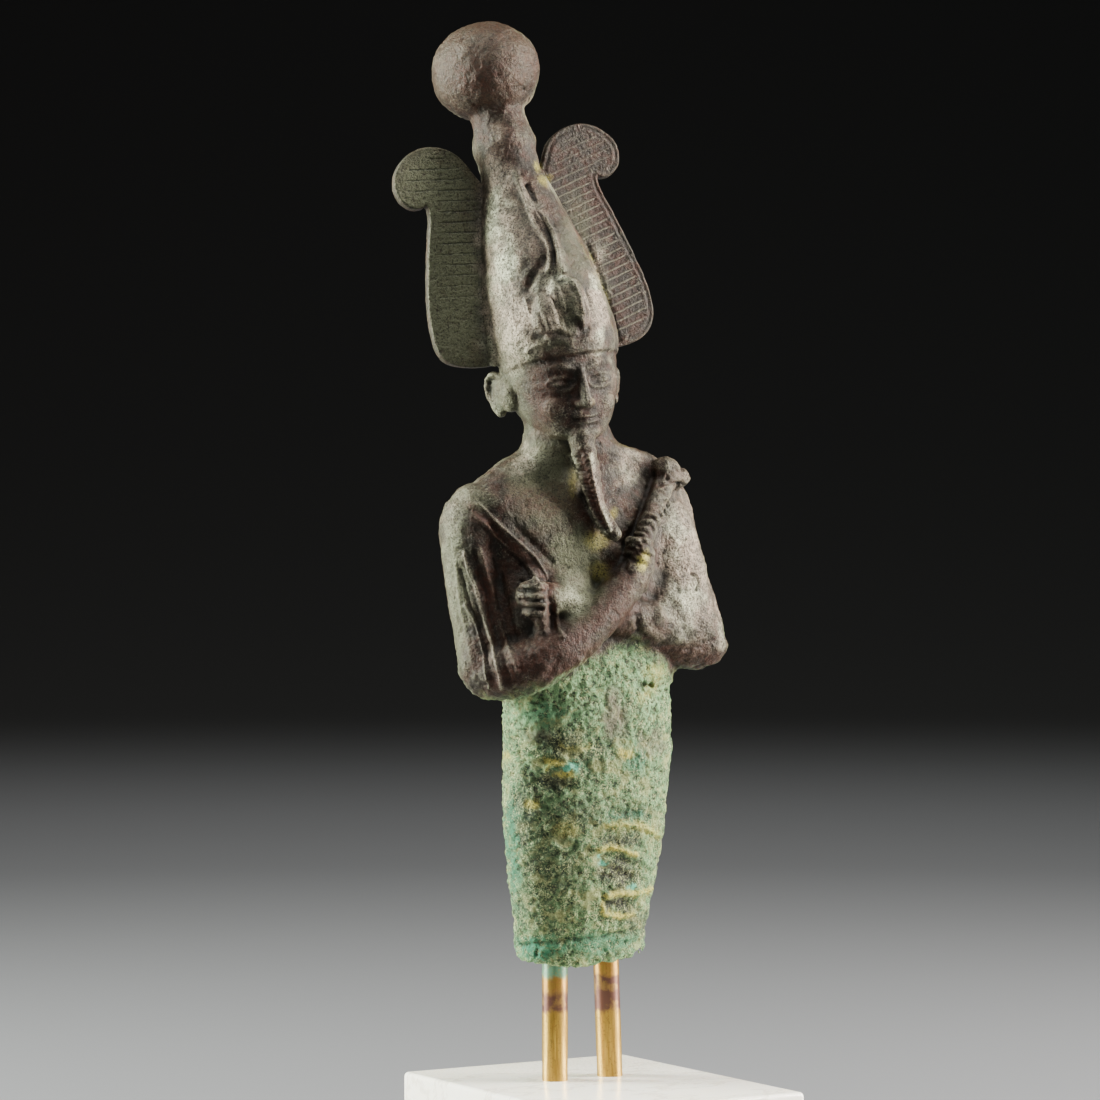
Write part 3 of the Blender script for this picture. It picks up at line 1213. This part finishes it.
def bronze_material():
    s = Surface("patinated bronze")
    broad = s.noise(0.008, 3.0)
    patch = s.noise(0.0036, 5.0, 0.6, stretch=(1.0, 1.0, 1.4))
    middle = s.noise(0.0022, 5.0)
    fine = s.noise(0.0008, 5.0, 0.6)
    grain = s.noise(0.00034, 3.0, 0.7)
    other_grain = s.noise(0.00042, 3.0, 0.7, stretch=(1.0, 1.3, 0.9))
    specks = s.cells(0.00085)
    green = s.mask("green")
    hollow = s.mask("hollow")
    wear = s.times(s.mask("edge_wear"), s.between(s.mask("red"), 0.0, 1.0, 1.0, 0.25))

    brown = s.mix(s.between(middle, 0.40, 0.66, 0.0, 0.55), CHOCOLATE, RED_BROWN)
    brown = s.mix(s.times(s.mask("olive"), s.between(fine, 0.24, 0.5, 0.2, 1.0)), brown, OLIVE)
    brown = s.mix(s.times(s.mask("red"), s.between(fine, 0.32, 0.6, 0.2, 1.0)), brown, RED_BROWN)
    film = s.times(s.between(other_grain, 0.55, 0.63), s.between(broad, 0.35, 0.7, 0.1, 0.5))
    bare = s.maths("MAXIMUM", s.mask("red"), s.mask("raised_barbs"))
    film = s.times(film, s.between(bare, 0.0, 1.0, 1.0, 0.35))
    brown = s.mix(film, brown, GREY_BEIGE)
    pale = s.times(s.mask("pale"), s.between(middle, 0.36, 0.60, 0.5, 1.0))
    pale = s.times(pale, s.between(fine, 0.36, 0.56, 0.45, 1.0))
    paint = s.mix(s.between(broad, 0.36, 0.54), PALE_GREEN_GREY, PALE_BEIGE)
    brown = s.mix(s.times(pale, s.between(grain, 0.38, 0.54, 0.35, 0.9)), brown, paint)
    brown = s.mix(s.times(wear, s.between(grain, 0.42, 0.58, 0.02, 0.55)), brown, GREY_BEIGE)
    brown = s.mix(s.between(grain, 0.38, 0.48, 0.75, 0.0), brown, CHOCOLATE)
    brown = s.mix(s.times(hollow, 0.65), brown, PIT_BLACK)

    greens = s.mix(s.between(fine, 0.38, 0.60), DEEP_GREEN, PATINA_GREEN)
    greens = s.mix(s.between(patch, 0.50, 0.62, 0.0, 0.75), greens, YELLOW_GREEN)
    greens = s.mix(s.between(patch, 0.36, 0.46, 0.4, 0.0), greens, EARTH)
    greens = s.mix(s.times(s.mask("dark"), s.between(fine, 0.28, 0.5)), greens, SLATE)
    crust = s.between(grain, 0.48, 0.62, 0.0, 0.88)
    crust = s.times(crust, s.between(middle, 0.40, 0.62, 0.3, 1.0))
    greens = s.mix(s.times(crust, s.between(broad, 0.3, 0.6, 0.6, 1.0)), greens, PALE_YELLOW_GREEN)
    mint = s.times(s.mask("mint"), s.between(fine, 0.40, 0.58))
    greens = s.mix(s.times(mint, s.between(other_grain, 0.36, 0.56, 0.25, 0.9)), greens, MINT)
    greens = s.mix(s.times(s.mask("blush"), s.between(fine, 0.36, 0.56, 0.2, 0.8)), greens, BLUSH)
    greens = s.mix(s.times(s.mask("teal"), s.between(fine, 0.34, 0.56)), greens, TEAL)
    pepper = s.between(other_grain, 0.56, 0.66, 0.0, 0.6)
    pepper = s.times(pepper, s.between(s.mask("mint"), 0.2, 0.9, 1.0, 0.45))
    greens = s.mix(s.times(pepper, s.between(broad, 0.34, 0.62, 1.0, 0.15)), greens, PIT_BLACK)
    rare = s.times(s.between(specks, 0.08, 0.20, 0.7, 0.0), s.between(middle, 0.48, 0.60))
    greens = s.mix(rare, greens, PIT_BLACK)
    greens = s.mix(s.times(hollow, 0.6), greens, PIT_BLACK)
    greens = s.mix(s.times(wear, s.between(grain, 0.4, 0.6, 0.1, 0.55)), greens, MINT)

    colour = s.mix(green, brown, greens)
    colour = s.mix(s.times(s.mask("ochre"), s.between(grain, 0.36, 0.52)), colour, OCHRE)
    colour = s.mix(s.times(s.mask("turquoise"), s.between(fine, 0.34, 0.48)), colour, TURQUOISE)

    count = s.maths("ADD", s.mask("barb_count"), s.times(middle, 0.25))
    wave = s.maths("COSINE", s.times(count, 2 * math.pi))
    ridge = s.times(s.between(wave, 0.55, 1.0), s.mask("raised_barbs"))
    cut = s.times(s.mask("cut_barbs"), s.between(middle, 0.35, 0.55, 0.3, 1.0))
    cut = s.times(s.between(wave, 0.78, 0.98), cut)
    colour = s.mix(s.times(ridge, 0.4), colour, GREY_BEIGE)
    colour = s.mix(s.times(cut, 0.45), colour, PIT_BLACK)

    rough = s.between(s.maths("ADD", green, s.times(fine, 0.35)), 0.0, 1.2, 0.42, 0.8)
    metal = s.times(s.maths("SUBTRACT", 1.0, green), s.between(s.mask("red"), 0.0, 1.0, 0.24, 0.08))
    relief = s.maths("SUBTRACT", ridge, cut)
    normal = s.bump(relief, 0.0002, 1.0)
    crisp = s.between(green, 0.0, 1.0, 0.7, 1.0)
    normal = s.bump(fine, 0.0005, crisp, normal)
    normal = s.bump(grain, 0.00026, crisp, normal)
    return s.finish(
        Base_Color=colour, Roughness=rough, Metallic=metal, Specular_IOR_Level=0.22, Normal=normal
    )


# Metres over which a stain on the brass begins
STAIN_EDGE = 0.0012


def brass_material(name, stain_low, stain_high, gold_top, collar):
    """Drawn brass, with corrosion from the bronze near its top. The heights are above the stone."""
    s = Surface(name)
    along = s.noise(0.0016, 4.0, stretch=(3.0, 3.0, 0.22))
    fine = s.noise(0.0005, 4.0)
    blotch = s.noise(0.0022, 4.0)
    height = s.node("ShaderNodeSeparateXYZ", {"Vector": s.coordinates}).outputs["Z"]
    wavy = s.maths("ADD", s.maths("SUBTRACT", height, BLOCK_TOP + 0.0015), s.times(blotch, 0.003))
    brass = s.mix(s.between(along, 0.35, 0.7), BRASS_BRIGHT, BRASS_DULL)
    brass = s.mix(s.between(fine, 0.54, 0.70, 0.0, 0.55), brass, BRASS_SPECK)
    stain = s.between(wavy, stain_low, stain_low + STAIN_EDGE)
    stain = s.times(stain, s.between(wavy, stain_high, gold_top, 1.0, 0.0))
    brass = s.mix(s.times(stain, s.between(blotch, 0.34, 0.5, 0.5, 1.0)), brass, BRASS_STAIN)
    copper = s.times(s.between(wavy, stain_high, gold_top), s.between(fine, 0.4, 0.6, 0.2, 0.8))
    brass = s.mix(copper, brass, COPPER_RED)
    green = s.times(s.between(wavy, collar, collar + STAIN_EDGE), s.between(fine, 0.28, 0.5, 0.5, 1.0))
    colour = s.mix(green, brass, COLLAR_GREEN)
    rough = s.between(along, 0.2, 0.8, 0.3, 0.5)
    metal = s.maths("SUBTRACT", 1.0, s.times(s.maths("ADD", green, s.times(stain, 0.4)), 0.7))
    normal = s.bump(along, 0.00004, 0.5)
    normal = s.bump(fine, 0.00005, 0.6, normal)
    return s.finish(Base_Color=colour, Roughness=rough, Metallic=metal, Normal=normal)


def stone_material():
    s = Surface("white marble")
    warp = s.noise(0.02, 5.0)
    vein = s.noise(0.03, 6.0, 0.6, stretch=(1.0, 1.8, 1.0))
    line = s.maths("ABSOLUTE", s.maths("SUBTRACT", vein, 0.5))
    thin = s.between(line, 0.0, 0.02, 1.0, 0.0)
    clouds = s.mix(s.between(warp, 0.35, 0.7), MARBLE_WHITE, MARBLE_CREAM)
    colour = s.mix(s.times(thin, 0.45), clouds, MARBLE_VEIN)
    grain = s.noise(0.0006, 3.0)
    colour = s.mix(s.between(grain, 0.55, 0.7, 0.0, 0.12), colour, MARBLE_SPECK)
    rough = s.between(grain, 0.3, 0.7, 0.12, 0.22)
    material = s.finish(Base_Color=colour, Roughness=rough, Normal=s.bump(grain, 0.00001, 0.4))
    s.shader.inputs["Subsurface Weight"].default_value = 0.15
    s.shader.inputs["Subsurface Radius"].default_value = (0.004, 0.003, 0.002)
    s.shader.inputs["Subsurface Scale"].default_value = 1.0
    return material


# The pieces
def shade_smooth(mesh, angle=None):
    mesh.shade_smooth()
    if angle:
        mesh.set_sharp_from_angle(angle=angle)


def make_figure():
    mesh = worked_figure()
    upright = read_points(mesh)
    normals = read_normals(mesh)
    edges = read_edges(mesh)
    paint_masks(mesh, upright, normals, edges)
    write_points(mesh, posed(upright))
    shade_smooth(mesh)
    figure = add_object("bronze_figure", mesh, bronze_material())
    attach(figure, "root")
    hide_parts("osiris_figure")


def rod_mesh(name, foot, lean):
    """A drawn rod with slightly rounded ends and a faint waviness."""
    sides = 72
    length = ROD_IN_BLOCK + ROD_SHOWING + ROD_IN_FIGURE
    stations = 90
    ease = 0.0003
    shape = bmesh.new()
    rings = []
    for i in range(stations + 1):
        up = length * i / stations
        from_end = min(up, length - up)
        shrink = 1 - 0.12 * (1 - min(from_end / ease, 1)) ** 2
        ring = []
        for j in range(sides):
            angle = 2 * math.pi * j / sides
            swell = 1 + 0.004 * noise.noise(Vector((math.cos(angle), math.sin(angle), up * 400)))
            radius = (ROD_RADIUS - 0.00002) * shrink * swell
            ring.append((radius * math.cos(angle), radius * math.sin(angle), up - ROD_IN_BLOCK))
        rings.append(ring)
    bridge_rings(shape, rings)
    place = Matrix.Translation(foot) @ Matrix.Rotation(-lean, 4, "Y")
    bmesh.ops.transform(shape, matrix=place, verts=shape.verts)
    mesh = bpy.data.meshes.new(name)
    shape.to_mesh(mesh)
    shape.free()
    shade_smooth(mesh, math.radians(40))
    return mesh


def make_rods():
    places = (
        ("brass_rod_right", -ROD_SPACING / 2, 0.0, (0.0125, 0.0158, 0.0180, 0.0190)),
        ("brass_rod_left", ROD_SPACING / 2, LEFT_ROD_LEAN, (0.0120, 0.0190, 0.0200, 0.0300)),
    )
    for node, x, lean, stains in places:
        name = f"{node}_finish"
        mesh = rod_mesh(name, Vector((x, RODS_Y, BLOCK_TOP)), lean)
        rod = add_object(name, mesh, brass_material(name, *stains))
        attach(rod, "root")
        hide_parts(node)


def make_block():
    shape = bmesh.new()
    size = BLOCK_HIGH - BLOCK_LOW
    place = Matrix.Translation((BLOCK_LOW + BLOCK_HIGH) / 2) @ Matrix.Diagonal((*size, 1))
    bmesh.ops.create_cube(shape, size=1, matrix=place)
    bmesh.ops.bevel(shape, geom=shape.edges, offset=BLOCK_EDGE, segments=6, profile=0.5, affect="EDGES")
    mesh = bpy.data.meshes.new("marble_block")
    shape.to_mesh(mesh)
    shape.free()
    shade_smooth(mesh, math.radians(30))
    block = add_object("marble_block", mesh, stone_material())
    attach(block, "root")
    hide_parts("stone_block")


# The studio
STAGE_FLAT_RADIUS = 0.85
STAGE_RISE_RADIUS = 1.2
STAGE_WALL_TOP = 3.0
STAGE_PALE = (0.120, 0.123, 0.132)
STAGE_DIM = (0.0022, 0.0023, 0.0025)


def make_stage():
    """A pale round floor whose rim curves up all round and darkens."""
    sides = 96
    shape = bmesh.new()
    profile = [(STAGE_FLAT_RADIUS * i / 4, 0.0) for i in range(1, 5)]
    for i in range(1, 17):
        angle = math.pi / 2 * i / 16
        radius = STAGE_FLAT_RADIUS + STAGE_RISE_RADIUS * math.sin(angle)
        profile.append((radius, STAGE_RISE_RADIUS * (1 - math.cos(angle))))
    profile.append((STAGE_FLAT_RADIUS + STAGE_RISE_RADIUS, STAGE_WALL_TOP))
    middle = shape.verts.new((0, 0, 0))
    loops = []
    for radius, height in profile:
        angles = [2 * math.pi * j / sides for j in range(sides)]
        loops.append([shape.verts.new((radius * math.cos(a), radius * math.sin(a), height)) for a in angles])
    for j in range(sides):
        following = (j + 1) % sides
        shape.faces.new((middle, loops[0][j], loops[0][following]))
        for low, high in zip(loops, loops[1:]):
            shape.faces.new((low[j], high[j], high[following], low[following]))
    mesh = bpy.data.meshes.new("floor")
    shape.to_mesh(mesh)
    shape.free()
    mesh.shade_smooth()
    s = Surface("pale floor")
    height = s.node("ShaderNodeSeparateXYZ", {"Vector": s.coordinates}).outputs["Z"]
    colour = s.mix(s.between(height, -0.004, 0.05), STAGE_PALE, STAGE_DIM)
    floor = add_object("floor", mesh, s.finish(Base_Color=colour, Roughness=0.8))


def add_light(name, azimuth, elevation, distance, size, power, colour=(1, 1, 1)):
    """A soft box that looks at the figure. Azimuth 0 is in front of it, and 90 to its right hand."""
    aim = Vector((0, 0, 0.14))
    turn = math.radians(azimuth)
    rise = math.radians(elevation)
    away = Vector((-math.sin(turn) * math.cos(rise), -math.cos(turn) * math.cos(rise), math.sin(rise)))
    light = bpy.data.lights.new(name, "AREA")
    light.shape = "RECTANGLE"
    light.size, light.size_y = size
    light.energy = power
    light.color = colour
    lamp = bpy.data.objects.new(name, light)
    lamp.location = aim + away * distance
    lamp.rotation_euler = (-away).to_track_quat("-Z", "Y").to_euler()
    bpy.context.scene.collection.objects.link(lamp)


def make_lights():
    add_light("left box", 126, 12, 0.60, (0.24, 0.7), 28.0, (0.96, 1.0, 0.90))
    add_light("right box", -64, 12, 0.60, (0.24, 0.7), 28.0, (1.0, 0.95, 0.88))
    add_light("front fill", 31, 35, 1.1, (0.7, 0.7), 3.0)
    add_light("top", 20, 80, 1.0, (0.6, 0.6), 11.0)
    world = bpy.data.worlds.new("studio")
    world.use_nodes = True
    background = world.node_tree.nodes["Background"]
    background.inputs["Color"].default_value = (0.8, 0.82, 0.85, 1.0)
    background.inputs["Strength"].default_value = 0.04
    bpy.context.scene.world = world


def make_camera():
    data = bpy.data.cameras.new("photo camera")
    data.sensor_width = SENSOR_MM
    data.lens = SENSOR_MM * FOCAL_PIXELS / PHOTO_SIZE
    data.clip_start = 0.01
    camera = bpy.data.objects.new("photo camera", data)
    camera.location = CAMERA_PLACE
    camera.rotation_euler = (math.radians(90), 0, VIEW_AZIMUTH)
    bpy.context.scene.collection.objects.link(camera)
    bpy.context.scene.camera = camera


make_camera()
make_stage()
make_lights()
make_block()
make_rods()
make_figure()
